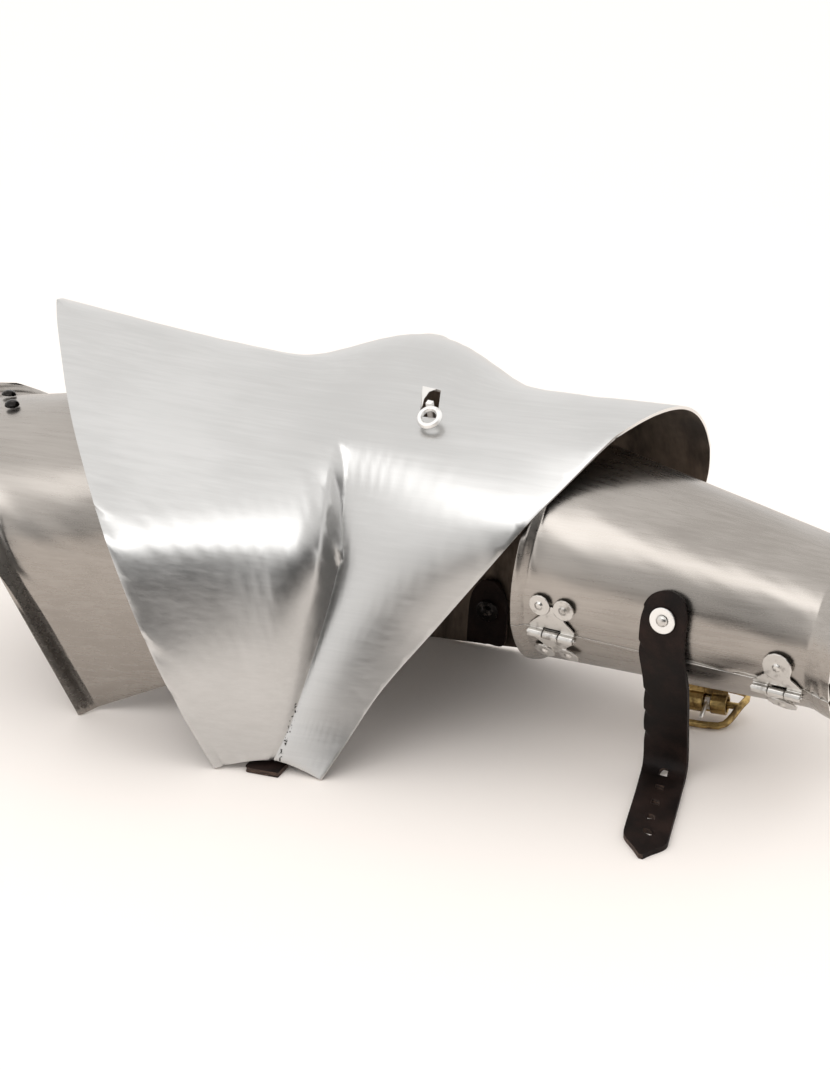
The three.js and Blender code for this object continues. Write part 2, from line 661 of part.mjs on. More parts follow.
const strapRivetOut = forearmOut(STRAP.rivetAngle);
const washerSeat = forearmPoint(STRAP.along, STRAP.rivetAngle, strapStand + GAP);
const washerProfile = ringProfile(WASHER.radius, WASHER.hole, WASHER.height);
addPiece('strap_washer', turned(washerProfile, washerSeat, strapRivetOut, ROUND.large), finish.bright);
const rivetTop = WASHER.height + GAP;
const rivetProfile = [
  [0, 0],
  [STRAP_RIVET.shank, 0],
  [STRAP_RIVET.shank, rivetTop],
  [STRAP_RIVET.radius, rivetTop],
  [STRAP_RIVET.radius * STRAP_RIVET.shoulderRadius, rivetTop + STRAP_RIVET.shoulderHeight],
  [0, rivetTop + STRAP_RIVET.height],
];
addPiece('strap_rivet', turned(rivetProfile, washerSeat, strapRivetOut, ROUND.large), finish.steel);

// Buckle frame with its middle bar
const right = new THREE.Vector3(1, 0, 0);
const crookWay = new THREE.Vector3(0, -1, 0);
const barMiddle = new THREE.Vector3(BUCKLE.x, BUCKLE.barY, BUCKLE.barZ);
const wireShape = new THREE.Shape().absarc(0, 0, BUCKLE.wire, 0, Math.PI * 2);
const frameWire = new THREE.ExtrudeGeometry(wireShape, {
  steps: BUCKLE.steps,
  curveSegments: BUCKLE.curveSegments,
  extrudePath: new THREE.CatmullRomCurve3(BUCKLE_LOOP.map(toVector), true),
});
const loop = mergeVertices(frameWire.deleteAttribute('normal').deleteAttribute('uv'), WELD);
const barProfile = [[0, 0], [BUCKLE.wire, 0], [BUCKLE.wire, 2 * BUCKLE.barHalf], [0, 2 * BUCKLE.barHalf]];
const bar = turned(barProfile, barMiddle.clone().addScaledVector(right, -BUCKLE.barHalf), right, ROUND.small);
addPiece('buckle_frame', joined([loop, bar]), finish.brass);

// Brass chape folded round the bar, slotted for the prong
const chapeStart = barMiddle.clone().addScaledVector(right, -CHAPE.halfWidth);
const foldProfile = ringProfile(CHAPE.outer, CHAPE.inner, 2 * CHAPE.halfWidth);
const fold = turned(foldProfile, chapeStart, right, ROUND.large);
const neck = new THREE.BoxGeometry(2 * CHAPE.halfWidth, CHAPE.neck, CHAPE.neckTop - CHAPE.neckBottom);
neck.translate(BUCKLE.x, BUCKLE.barY, (CHAPE.neckTop + CHAPE.neckBottom) / 2);
const prongSlot = new THREE.BoxGeometry(2 * CHAPE.slotHalf, 2 * CHAPE.outer, 4 * CHAPE.outer);
prongSlot.translate(BUCKLE.x, BUCKLE.barY - CHAPE.outer, BUCKLE.barZ);
const chape = toSolid(joined([fold, neck])).subtract(toSolid(prongSlot));
addPiece('buckle_chape', toGeometry(chape), finish.brass);
const smallHead = domeProfile(SMALL_RIVET.radius, SMALL_RIVET.height);
const chapeRivetSeat = new THREE.Vector3(BUCKLE.x, BUCKLE.barY - CHAPE.neck / 2 - GAP, CHAPE.rivetZ);
addPiece('buckle_chape_rivet', turned(smallHead, chapeRivetSeat, crookWay, ROUND.small), finish.bright);

// Prong with its eye on the bar
const eyeStart = barMiddle.clone().addScaledVector(right, -PRONG.eyeWidth / 2);
const eyeProfile = ringProfile(PRONG.eyeOuter, PRONG.eyeInner, PRONG.eyeWidth);
const prongEye = turned(eyeProfile, eyeStart, right, ROUND.large);
const prongRoot = new THREE.Vector3(BUCKLE.x, PRONG.rootY, PRONG.rootZ);
const prongWay = new THREE.Vector3(BUCKLE.x, PRONG.tipY, PRONG.tipZ).sub(prongRoot);
const prongProfile = [
  [0, 0],
  [PRONG.radius, 0],
  [PRONG.radius, prongWay.length() - PRONG.taperLength],
  [PRONG.radius * PRONG.taper, prongWay.length()],
  [0, prongWay.length()],
];
const prongRod = turned(prongProfile, prongRoot, prongWay.clone().normalize(), PRONG.segments);
addPiece('buckle_prong', joined([prongEye, prongRod]), finish.bright);

// Leather between the lower shell and the chape
const { fromAngle, toAngle, clear } = BUCKLE_STRAP;
const buckleStrapStart = alongTube(BUCKLE_STRAP, fromAngle, toAngle, clear);
const buckleDrop = BUCKLE_DROP.map(({ y, z }) => new THREE.Vector3(BUCKLE.x, y, z));
const buckleStrapCurve = new THREE.CatmullRomCurve3([...buckleStrapStart, ...buckleDrop]);
const buckleStrapPath = buckleStrapCurve.getSpacedPoints(BUCKLE_STRAP.rows);
const buckleStrapWidths = sameWidth(buckleStrapPath, BUCKLE_STRAP.halfWidth);
const buckleLeather = ribbon(buckleStrapPath, strapAcross, buckleStrapWidths, BUCKLE_STRAP.columns, LEATHER);
addPiece('buckle_strap', buckleLeather, finish.leather);
const buckleRivetStand = BUCKLE_STRAP.clear + LEATHER + GAP;
const buckleRivetSeat = forearmPoint(BUCKLE_STRAP.along, BUCKLE_STRAP.rivetAngle, buckleRivetStand);
const buckleRivetOut = forearmOut(BUCKLE_STRAP.rivetAngle);
addPiece('buckle_strap_rivet', turned(smallHead, buckleRivetSeat, buckleRivetOut, ROUND.small), finish.steel);

// Elbow strap riveted inside the far foot, and the leather end under the near foot
const elbowPath = ELBOW_STRAP_PATH.map(toVector);
const elbowLeather = ribbon(elbowPath, right, ELBOW_STRAP_WIDTHS, ELBOW_COLUMNS, LEATHER);
addPiece('elbow_strap', elbowLeather, finish.leather);
const elbowSeat = new THREE.Vector3(ELBOW_STRAP_PATH[0].x, ELBOW_RIVET.y - GAP, ELBOW_RIVET.z);
const elbowWasherProfile = domeProfile(ELBOW_RIVET.washer, ELBOW_RIVET.washerHeight);
const elbowHeadProfile = domeProfile(ELBOW_RIVET.radius, ELBOW_RIVET.height);
const elbowWasher = turned(elbowWasherProfile, elbowSeat, crookWay, ROUND.large);
const elbowHead = turned(elbowHeadProfile, elbowSeat, crookWay, ROUND.small);
addPiece('elbow_strap_rivet', joined([elbowWasher, elbowHead]), finish.black);
const tabPath = ELBOW_TAB_PATH.map(toVector);
const tabLeather = ribbon(tabPath, right, sameWidth(tabPath, ELBOW_TAB_HALF_WIDTH), ELBOW_COLUMNS, LEATHER);
addPiece('elbow_tab', tabLeather, finish.leather);

// Inner leathers
INNER_LEATHERS.forEach(({ name, z, path }) => {
  const curve = new THREE.CatmullRomCurve3(path.map(({ x, y }) => new THREE.Vector3(x, y, z)));
  const points = curve.getSpacedPoints(INNER_LEATHER.rows);
  const widths = sameWidth(points, INNER_LEATHER.halfWidth);
  const upright = new THREE.Vector3(0, 0, 1);
  addPiece(name, ribbon(points, upright, widths, INNER_LEATHER.columns, LEATHER), finish.leather);
});

// The whole arm rests on the floor, centred over the origin
const box = new THREE.Box3().setFromObject(arm);
const middle = box.getCenter(new THREE.Vector3());
arm.position.set(-middle.x, -middle.y, -box.min.z);

const part = new THREE.Group();
part.name = 'plate_arm_armour';
part.add(arm);

export default part;
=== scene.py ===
# Plate arm armour: smooth plates, worn steel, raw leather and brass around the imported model
import json
import math

import bmesh
import bpy
from mathutils import Matrix, Vector


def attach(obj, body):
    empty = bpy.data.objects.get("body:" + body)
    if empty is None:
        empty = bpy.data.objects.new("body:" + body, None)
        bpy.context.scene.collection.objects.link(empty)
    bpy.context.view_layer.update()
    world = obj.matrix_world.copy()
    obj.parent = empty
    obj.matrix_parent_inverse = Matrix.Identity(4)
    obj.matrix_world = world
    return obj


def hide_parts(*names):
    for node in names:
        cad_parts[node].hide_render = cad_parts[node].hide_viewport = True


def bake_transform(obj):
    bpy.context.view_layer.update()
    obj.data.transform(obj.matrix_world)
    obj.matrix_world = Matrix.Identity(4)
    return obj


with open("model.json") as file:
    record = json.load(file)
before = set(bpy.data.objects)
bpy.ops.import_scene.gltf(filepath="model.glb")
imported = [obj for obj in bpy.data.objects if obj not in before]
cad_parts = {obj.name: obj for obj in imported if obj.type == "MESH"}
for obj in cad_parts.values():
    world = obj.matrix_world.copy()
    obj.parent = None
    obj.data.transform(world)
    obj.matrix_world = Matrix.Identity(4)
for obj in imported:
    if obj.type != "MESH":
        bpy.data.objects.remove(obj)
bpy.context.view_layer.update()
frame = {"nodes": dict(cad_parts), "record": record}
cadNodes = frame["nodes"]
mm = 0.001
print("frame loaded,", len(cadNodes), "nodes")


# shader maths as plain expressions
class Wire:
    def __init__(self, finish, socket):
        self.finish = finish
        self.socket = socket

    def maths(self, operation, first, second):
        node = self.finish.add("ShaderNodeMath", {"operation": operation}, {0: first, 1: second})
        return node.out(0)

    def __add__(self, other):
        return self.maths("ADD", self, other)

    def __radd__(self, other):
        return self.maths("ADD", other, self)

    def __sub__(self, other):
        return self.maths("SUBTRACT", self, other)

    def __rsub__(self, other):
        return self.maths("SUBTRACT", other, self)

    def __mul__(self, other):
        return self.maths("MULTIPLY", self, other)

    def __rmul__(self, other):
        return self.maths("MULTIPLY", other, self)

    def __lt__(self, other):
        return self.maths("LESS_THAN", self, other)

    def __abs__(self):
        return self.maths("ABSOLUTE", self, 0.0)


class Placed:
    def __init__(self, finish, node):
        self.finish = finish
        self.node = node

    def out(self, name):
        return Wire(self.finish, self.node.outputs[name])


# places of a Mix node's colour sockets
mixSlots = {"factor": 0, "first": 6, "second": 7, "result": 2}


# one node tree, of a material or of the world
class Finish:
    def __init__(self, tree):
        self.tree = tree

    def link(self, node, sockets):
        for name, value in sockets.items():
            if isinstance(value, Wire):
                self.tree.links.new(value.socket, node.inputs[name])
            else:
                node.inputs[name].default_value = value

    def add(self, kind, settings=None, sockets=None):
        node = self.tree.nodes.new(kind)
        for key, value in (settings or {}).items():
            setattr(node, key, value)
        self.link(node, sockets or {})
        return Placed(self, node)

    def mix(self, factor, first, second):
        sockets = {mixSlots["factor"]: factor, mixSlots["first"]: first, mixSlots["second"]: second}
        return self.add("ShaderNodeMix", {"data_type": "RGBA"}, sockets).out(mixSlots["result"])

    def ramp(self, value, low, high):
        sockets = {"Value": value, "From Min": low, "From Max": high}
        return self.add("ShaderNodeMapRange", {"interpolation_type": "SMOOTHSTEP"}, sockets).out(0)

    def place(self):
        return self.add("ShaderNodeTexCoord").out("Object")

    # a grain has one scale, or a stretch with a scale for each axis
    def noise(self, coords, grain):
        if "stretch" in grain:
            coords = self.add("ShaderNodeMapping", {}, {"Vector": coords, "Scale": grain["stretch"]}).out(0)
        sockets = {
            "Vector": coords, "Scale": grain.get("scale", 1.0),
            "Detail": grain["detail"], "Roughness": grain["roughness"],
        }
        return self.add("ShaderNodeTexNoise", {}, sockets).out(0)

    def bump(self, height, distance, strength, under=None):
        sockets = {"Height": height, "Distance": distance, "Strength": strength}
        if under is not None:
            sockets["Normal"] = under
        return self.add("ShaderNodeBump", {}, sockets).out(0)

    def axes(self, coords):
        split = self.add("ShaderNodeSeparateXYZ", {}, {0: coords})
        return split.out(0), split.out(1), split.out(2)


def newFinish(name):
    material = bpy.data.materials.new(name)
    material.use_nodes = True
    finish = Finish(material.node_tree)
    shader = material.node_tree.nodes["Principled BSDF"]
    return material, finish, shader


def rgb(red, green, blue):
    return (red, green, blue, 1.0)


def shared(first, second, part):
    return first * part + second * (1 - part)


noiseMean = 0.5

# bare plate steel, brushed by hand along the arm
plateLook = {
    "light": rgb(0.62, 0.615, 0.605),
    "dark": rgb(0.52, 0.515, 0.505),
    "pit": rgb(0.02, 0.018, 0.015),
    "roughness": 0.33,
    "cloud": {"scale": 9.0, "detail": 3.0, "roughness": 0.55},
    "brush": {"stretch": (18.0, 420.0, 420.0), "detail": 4.0, "roughness": 0.7},
    "scratch": {"stretch": (900.0, 60.0, 60.0), "detail": 2.0, "roughness": 0.5},
    "wave": {"scale": 26.0, "detail": 1.0, "roughness": 0.3},
    "cloudShare": 0.65,
    "toneFrom": 0.34,
    "toneTo": 0.68,
    "brushRough": 0.16,
    "cloudRough": 0.12,
    "pitRough": 0.3,
    "waveHeight": 0.16 * mm,
    "waveStrength": 0.6,
    "brushShare": 0.7,
    "brushHeight": 0.012 * mm,
    "brushStrength": 0.5,
}

# the tubes' own steel colour, painted darker and warmer than the guard's as painted shade and a painted warm
# floor reflection; the tubes are also smoother
tubeShadedLook = {
    **plateLook,
    "light": rgb(0.43, 0.4, 0.37),
    "dark": rgb(0.31, 0.285, 0.26),
    "roughness": 0.28,
    "waveHeight": 0.05 * mm,
}


def plateSteel(name, look, marks=None):
    material, finish, shader = newFinish(name)
    coords = finish.place()
    cloud = finish.noise(coords, look["cloud"])
    brush = finish.noise(coords, look["brush"])
    scratch = finish.noise(coords, look["scratch"])
    wave = finish.noise(coords, look["wave"])
    tone = finish.ramp(shared(cloud, brush, look["cloudShare"]), look["toneFrom"], look["toneTo"])
    colour = finish.mix(tone, look["dark"], look["light"])
    brushRough = (brush - noiseMean) * look["brushRough"]
    cloudRough = (cloud - noiseMean) * look["cloudRough"]
    rough = look["roughness"] + brushRough + cloudRough
    if marks is not None:
        speck = marks(finish, coords)
        colour = finish.mix(speck, colour, look["pit"])
        rough = rough + speck * look["pitRough"]
    waves = finish.bump(wave, look["waveHeight"], look["waveStrength"])
    grain = shared(brush, scratch, look["brushShare"])
    normal = finish.bump(grain, look["brushHeight"], look["brushStrength"], waves)
    finish.link(shader, {"Base Color": colour, "Roughness": rough, "Metallic": 1.0, "Normal": normal})
    return material


# the welded seam down the pleat's foot, with dark pits
weld = {
    "x": -28.4 * mm,
    "lean": 0.24,
    "low": 6 * mm,
    "top": 33 * mm,
    "front": -50 * mm,
    "half": 1.3 * mm,
    "core": 0.4,
    "pits": {"scale": 620.0, "detail": 2.0, "roughness": 0.55},
    "pitFrom": 0.54,
    "pitTo": 0.62,
}


def weldMarks(finish, coords):
    x, y, z = finish.axes(coords)
    off = abs(x - (weld["x"] + (z - weld["low"]) * weld["lean"]))
    line = 1 - finish.ramp(off, weld["half"] * weld["core"], weld["half"])
    pits = finish.ramp(finish.noise(coords, weld["pits"]), weld["pitFrom"], weld["pitTo"])
    return line * (z < weld["top"]) * (y < weld["front"]) * pits


# dull, stained steel inside the plates
innerLook = {
    "light": rgb(0.21, 0.165, 0.13),
    "dark": rgb(0.045, 0.035, 0.028),
    "roughness": 0.5,
    "stainRough": 0.3,
    "metallic": 0.9,
    "streak": {"stretch": (60.0, 14.0, 14.0), "detail": 5.0, "roughness": 0.65},
    "stain": {"scale": 22.0, "detail": 4.0, "roughness": 0.6},
    "streakShare": 0.55,
    "toneFrom": 0.38,
    "toneTo": 0.62,
    "bumpHeight": 0.05 * mm,
    "bumpStrength": 0.5,
}


def innerSteel(name, look):
    material, finish, shader = newFinish(name)
    coords = finish.place()
    streak = finish.noise(coords, look["streak"])
    stain = finish.noise(coords, look["stain"])
    tone = finish.ramp(shared(streak, stain, look["streakShare"]), look["toneFrom"], look["toneTo"])
    finish.link(shader, {
        "Base Color": finish.mix(tone, look["dark"], look["light"]),
        "Roughness": look["roughness"] + (stain - noiseMean) * look["stainRough"],
        "Metallic": look["metallic"],
        "Normal": finish.bump(streak, look["bumpHeight"], look["bumpStrength"]),
    })
    return material


# small bright fittings and the plates' cut edges
brightLook = {
    "grime": rgb(0.2, 0.18, 0.16),
    "smear": {"scale": 240.0, "detail": 4.0, "roughness": 0.6},
    "cloud": {"scale": 60.0, "detail": 2.0, "roughness": 0.55},
    "smearShare": 0.6,
    "grimeFrom": 0.5,
    "grimeTo": 0.7,
    "grimeRough": 0.25,
    "bumpHeight": 0.03 * mm,
    "bumpStrength": 0.4,
}
edgeLook = {**brightLook, "light": rgb(0.78, 0.76, 0.73), "roughness": 0.3, "dirt": 0.08}
hingeLook = {**brightLook, "light": rgb(0.62, 0.6, 0.57), "roughness": 0.3, "dirt": 0.8}
washerLook = {**brightLook, "light": rgb(0.86, 0.85, 0.83), "roughness": 0.34, "dirt": 0.3}


def brightSteel(name, look):
    material, finish, shader = newFinish(name)
    coords = finish.place()
    smear = finish.noise(coords, look["smear"])
    cloud = finish.noise(coords, look["cloud"])
    patches = finish.ramp(shared(smear, cloud, look["smearShare"]), look["grimeFrom"], look["grimeTo"])
    grime = patches * look["dirt"]
    finish.link(shader, {
        "Base Color": finish.mix(grime, look["light"], look["grime"]),
        "Roughness": look["roughness"] + grime * look["grimeRough"],
        "Metallic": 1.0,
        "Normal": finish.bump(smear, look["bumpHeight"], look["bumpStrength"]),
    })
    return material


# blackened rivets, and brass with tarnish: two tones in patches
blackLook = {
    "first": rgb(0.014, 0.012, 0.011),
    "second": rgb(0.11, 0.095, 0.085),
    "roughness": 0.24,
    "patchRough": 0.2,
    "metallic": 0.75,
    "patches": {"scale": 380.0, "detail": 4.0, "roughness": 0.6},
    "patchFrom": 0.56,
    "patchTo": 0.72,
    "bumpHeight": 0.04 * mm,
    "bumpStrength": 0.5,
}
brassLook = {
    "first": rgb(0.5, 0.35, 0.14),
    "second": rgb(0.16, 0.105, 0.045),
    "roughness": 0.28,
    "patchRough": 0.25,
    "metallic": 1.0,
    "patches": {"scale": 170.0, "detail": 5.0, "roughness": 0.62},
    "patchFrom": 0.42,
    "patchTo": 0.66,
    "scratch": {"stretch": (200.0, 2400.0, 2400.0), "detail": 3.0, "roughness": 0.55},
    "bumpHeight": 0.03 * mm,
    "bumpStrength": 0.4,
}


def patchyMetal(name, look):
    material, finish, shader = newFinish(name)
    coords = finish.place()
    patches = finish.ramp(finish.noise(coords, look["patches"]), look["patchFrom"], look["patchTo"])
    relief = finish.noise(coords, look["scratch"]) if "scratch" in look else patches
    finish.link(shader, {
        "Base Color": finish.mix(patches, look["first"], look["second"]),
        "Roughness": look["roughness"] + patches * look["patchRough"],
        "Metallic": look["metallic"],
        "Normal": finish.bump(relief, look["bumpHeight"], look["bumpStrength"]),
    })
    return material


# dark brown strap leather with a fine grain
leatherLook = {
    "dark": rgb(0.005, 0.003, 0.0025),
    "light": rgb(0.024, 0.013, 0.01),
    "roughness": 0.62,
    "cloudRough": 0.3,
    "gloss": 0.16,
    "cellScale": 900.0,
    "pores": {"scale": 1500.0, "detail": 3.0, "roughness": 0.6},
    "cloud": {"scale": 55.0, "detail": 4.0, "roughness": 0.6},
    "creases": {"stretch": (40.0, 160.0, 160.0), "detail": 3.0, "roughness": 0.55},
    "cloudShare": 0.75,
    "toneFrom": 0.36,
    "toneTo": 0.68,
    "cellShare": 0.6,
    "grainHeight": 0.09 * mm,
    "grainStrength": 0.7,
    "creaseHeight": 0.12 * mm,
    "creaseStrength": 0.5,
}


def strapLeather(name, look):
    material, finish, shader = newFinish(name)
    coords = finish.place()
    cellSockets = {"Vector": coords, "Scale": look["cellScale"]}
    cells = finish.add("ShaderNodeTexVoronoi", {"feature": "DISTANCE_TO_EDGE"}, cellSockets).out(0)
    pores = finish.noise(coords, look["pores"])
    cloud = finish.noise(coords, look["cloud"])
    creases = finish.noise(coords, look["creases"])
    tone = finish.ramp(shared(cloud, pores, look["cloudShare"]), look["toneFrom"], look["toneTo"])
    grain = finish.bump(shared(cells, pores, look["cellShare"]), look["grainHeight"], look["grainStrength"])
    finish.link(shader, {
        "Base Color": finish.mix(tone, look["dark"], look["light"]),
        "Roughness": look["roughness"] + (cloud - noiseMean) * look["cloudRough"],
        "Specular IOR Level": look["gloss"],
        "Normal": finish.bump(creases, look["creaseHeight"], look["creaseStrength"], grain),
    })
    return material


# raw cut leather, brown with pale fibres
sideLook = {
    "dark": rgb(0.02, 0.012, 0.009),
    "light": rgb(0.085, 0.05, 0.034),
    "roughness": 0.85,
    "fibre": {"stretch": (300.0, 300.0, 1400.0), "detail": 4.0, "roughness": 0.7},
    "toneFrom": 0.38,
    "toneTo": 0.66,
    "bumpHeight": 0.15 * mm,
    "bumpStrength": 0.8,
}


def rawLeather(name, look):
    material, finish, shader = newFinish(name)
    fibre = finish.noise(finish.place(), look["fibre"])
    tone = finish.ramp(fibre, look["toneFrom"], look["toneTo"])
    finish.link(shader, {
        "Base Color": finish.mix(tone, look["dark"], look["light"]),
        "Roughness": look["roughness"],
        "Normal": finish.bump(fibre, look["bumpHeight"], look["bumpStrength"]),
    })
    return material


guardSteel = plateSteel("guardSteel", plateLook, weldMarks)
# the tubes' steel holds painted shade and a painted warm floor reflection in its colour
tubeShadedSteel = plateSteel("tubeShadedSteel", tubeShadedLook)
insideSteel = innerSteel("innerSteel", innerLook)
cutEdge = brightSteel("cutEdge", edgeLook)
hingeSteel = brightSteel("hingeSteel", hingeLook)
washerSteel = brightSteel("washerSteel", washerLook)
rivetBlack = patchyMetal("blackSteel", blackLook)
leather = strapLeather("strapLeather", leatherLook)
leatherSide = rawLeather("leatherSide", sideLook)
brass = patchyMetal("buckleBrass", brassLook)
print("finishes ready")


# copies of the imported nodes, welded and made of four-sided faces again
weldDistance = 0.005 * mm


def openCopy(name):
    bm = bmesh.new()
    bm.from_mesh(cadNodes[name].data)
    bmesh.ops.remove_doubles(bm, verts=bm.verts, dist=weldDistance)
    return bm


def toQuads(bm):
    faces = list(bm.faces)
    pairs = zip(faces[0::2], faces[1::2])
    common = [set(first.edges) & set(second.edges) for first, second in pairs]
    diagonals = [edge for edges in common for edge in edges]
    bmesh.ops.dissolve_edges(bm, edges=diagonals, use_verts=False, use_face_split=False)


# edges that stay sharp when a mesh is smoothed, and the corners where they turn
sharpAngle = math.radians(58)
fullCrease = 1.0
fold = {"angle": math.radians(24), "crease": 0.75}
noFold = {"angle": math.pi, "crease": 0.0}
cornerTurn = -0.55


def creaseSharp(bm, cornerCrease, softer=noFold):
    crease = bm.edges.layers.float.new("crease_edge")
    corner = bm.verts.layers.float.new("crease_vert")
    for edge in bm.edges:
        angle = edge.calc_face_angle(0.0)
        if angle > sharpAngle:
            edge[crease] = fullCrease
        elif angle > softer["angle"]:
            edge[crease] = softer["crease"]
    for vert in bm.verts:
        sharp = [edge for edge in vert.link_edges if edge[crease] >= fullCrease]
        arms = [(edge.other_vert(vert).co - vert.co).normalized() for edge in sharp]
        turns = [first.dot(second) for i, first in enumerate(arms) for second in arms[i + 1:]]
        if turns and min(turns) > cornerTurn:
            vert[corner] = cornerCrease


# faces sorted by the side of the sheet that they are on
outerSide = 0
innerSide = 1
cutSide = 2


def sortSides(bm, heart, edgeShare):
    groups = []
    left = set(bm.faces)
    while left:
        group = [left.pop()]
        for face in group:
            for edge in face.edges:
                if edge.calc_face_angle(0.0) <= sharpAngle:
                    near = [other for other in edge.link_faces if other in left]
                    left.difference_update(near)
                    group.extend(near)
        groups.append(group)
    areas = [sum(face.calc_area() for face in group) for group in groups]
    for group, area in zip(groups, areas):
        out = sum((face.calc_center_median() - heart).dot(face.normal) * face.calc_area() for face in group)
        side = outerSide if out >= 0 else innerSide
        if area < edgeShare * max(areas):
            side = cutSide
        for face in group:
            face.material_index = side


def newObject(name, bm, materials):
    mesh = bpy.data.meshes.new(name)
    bm.to_mesh(mesh)
    bm.free()
    for material in materials:
        mesh.materials.append(material)
    piece = bpy.data.objects.new(name, mesh)
    bpy.context.scene.collection.objects.link(piece)
    return piece


def plainName(node):
    words = node.split("_")
    return words[0] + "".join(word.capitalize() for word in words[1:])


def dressed(node, bm, materials):
    for face in bm.faces:
        face.smooth = True
    piece = newObject(plainName(node), bm, materials)
    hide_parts(node)
    return piece


def smoothed(piece, levels):
    modifier = piece.modifiers.new("smooth", "SUBSURF")
    modifier.levels = levels
    modifier.render_levels = levels


bevel = {"angle": math.radians(50), "segments": 2}


def rounded(piece, width):
    modifier = piece.modifiers.new("edges", "BEVEL")
    modifier.width = width
    modifier.segments = bevel["segments"]
    modifier.limit_method = "ANGLE"
    modifier.angle_limit = bevel["angle"]
    modifier.harden_normals = False


bodyOf = {node: body for body, names in frame["record"]["behaviour"]["bodies"].items() for node in names}

# the large plates; a flared rim shows the outside's steel on both faces
forearmHeart = (0.15, 0.006, 0.086)
plates = [
    {"node": "elbow_guard", "heart": (-0.02, 0.01, 0.07), "steel": guardSteel, "corner": 0.3, "levels": 2},
    {"node": "upper_arm_plate", "heart": (-0.15, 0.01, 0.05), "steel": tubeShadedSteel, "corner": 0.6, "levels": 3},
    {"node": "forearm_upper_shell", "heart": forearmHeart, "steel": tubeShadedSteel, "corner": 1.0, "levels": 3},
    {"node": "forearm_lower_shell", "heart": forearmHeart, "steel": tubeShadedSteel, "corner": 1.0, "levels": 3},
]
plateEdge = {"share": 0.2, "round": 0.3 * mm, "rimFacing": -0.5}
for plate in plates:
    bm = openCopy(plate["node"])
    toQuads(bm)
    creaseSharp(bm, plate["corner"], fold)
    sortSides(bm, Vector(plate["heart"]), plateEdge["share"])
    for face in bm.faces:
        if face.normal.x < plateEdge["rimFacing"] and face.material_index == innerSide:
            face.material_index = outerSide
    piece = dressed(plate["node"], bm, [plate["steel"], insideSteel, cutEdge])
    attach(piece, bodyOf[plate["node"]])
    smoothed(piece, plate["levels"])
    rounded(piece, plateEdge["round"])
print("plates dressed")

# leathers: smooth ribbons with raw edges; the closing strap has its transform baked in and is not attached to
# a body
leathers = [
    {"node": "closing_strap", "heart": (0.15, 0.05, 0.02), "levels": 3},
    {"node": "buckle_strap", "heart": (0.15, 0.0, 0.05), "levels": 2},
    {"node": "elbow_strap", "heart": (0.02, 0.2, 0.02), "levels": 2},
    {"node": "elbow_tab", "heart": (-0.03, 0.1, 0.0), "levels": 2},
    {"node": "upper_leather", "heart": (-0.08, 0.0, 0.076), "levels": 2},
    {"node": "lower_leather", "heart": (0.07, 0.0, 0.097), "levels": 2},
]
leatherEdge = {"share": 0.5, "round": 0.35 * mm, "corner": 0.0}
strapBend = {"node": "closing_strap", "start": (0.14, -0.036, 0.075), "end": (0.14, -0.034, 0.057)}
for item in leathers:
    bm = openCopy(item["node"])
    toQuads(bm)
    creaseSharp(bm, leatherEdge["corner"])
    sortSides(bm, Vector(item["heart"]), leatherEdge["share"])
    piece = dressed(item["node"], bm, [leather, leather, leatherSide])
    smoothed(piece, item["levels"])
    rounded(piece, leatherEdge["round"])
    if item["node"] == strapBend["node"]:
        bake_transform(piece)
    else:
        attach(piece, bodyOf[item["node"]])
print("leathers dressed")

# turned fittings: rivets, washers, ring and pins
turnings = [
    {"node": "shoulder_rivet_1", "steel": rivetBlack, "slot": "black_steel"},
    {"node": "shoulder_rivet_2", "steel": rivetBlack, "slot": "black_steel"},
    {"node": "strap_washer", "steel": washerSteel, "slot": "bright_steel"},
    {"node": "strap_rivet", "steel": hingeSteel, "slot": "plate_steel"},
    {"node": "buckle_strap_rivet", "steel": hingeSteel, "slot": "plate_steel"},
    {"node": "buckle_chape_rivet", "steel": washerSteel, "slot": "bright_steel"},
    {"node": "guard_ring", "steel": washerSteel, "slot": "bright_steel"},
    {"node": "hinge_elbow_pin", "steel": hingeSteel, "slot": "bright_steel"},
    {"node": "hinge_wrist_pin", "steel": hingeSteel, "slot": "bright_steel"},
    {"node": "guard_lug", "steel": washerSteel, "slot": "bright_steel"},
]
turned = {
    "joinAngle": math.radians(30), "joinShape": math.radians(60),
    "corner": 1.0, "levels": 2, "round": 0.15 * mm,
}
for item in turnings:
    bm = openCopy(item["node"])
    bmesh.ops.join_triangles(
        bm, faces=bm.faces,
        angle_face_threshold=turned["joinAngle"], angle_shape_threshold=turned["joinShape"],
    )
    creaseSharp(bm, turned["corner"])
    piece = dressed(item["node"], bm, [item["steel"]])
    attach(piece, bodyOf[item["node"]])
    smoothed(piece, turned["levels"])
    rounded(piece, turned["round"])
print("turned fittings dressed")

# cast and pressed fittings: worn soft by a fine remesh
castings = [
    {"node": "hinge_elbow_upper_leaf", "finish": hingeSteel, "slot": "bright_steel", "voxel": 0.22 * mm},
    {"node": "hinge_elbow_lower_leaf", "finish": hingeSteel, "slot": "bright_steel", "voxel": 0.22 * mm},
    {"node": "hinge_wrist_upper_leaf", "finish": hingeSteel, "slot": "bright_steel", "voxel": 0.22 * mm},
    {"node": "hinge_wrist_lower_leaf", "finish": hingeSteel, "slot": "bright_steel", "voxel": 0.22 * mm},
    {"node": "buckle_frame", "finish": brass, "slot": "buckle_brass", "voxel": 0.3 * mm},
    {"node": "buckle_chape", "finish": brass, "slot": "buckle_brass", "voxel": 0.24 * mm},
    {"node": "buckle_prong", "finish": washerSteel, "slot": "bright_steel", "voxel": 0.22 * mm},
    {"node": "elbow_strap_rivet", "finish": rivetBlack, "slot": "black_steel", "voxel": 0.22 * mm},
]
wear = {"factor": 0.5, "rounds": 3}
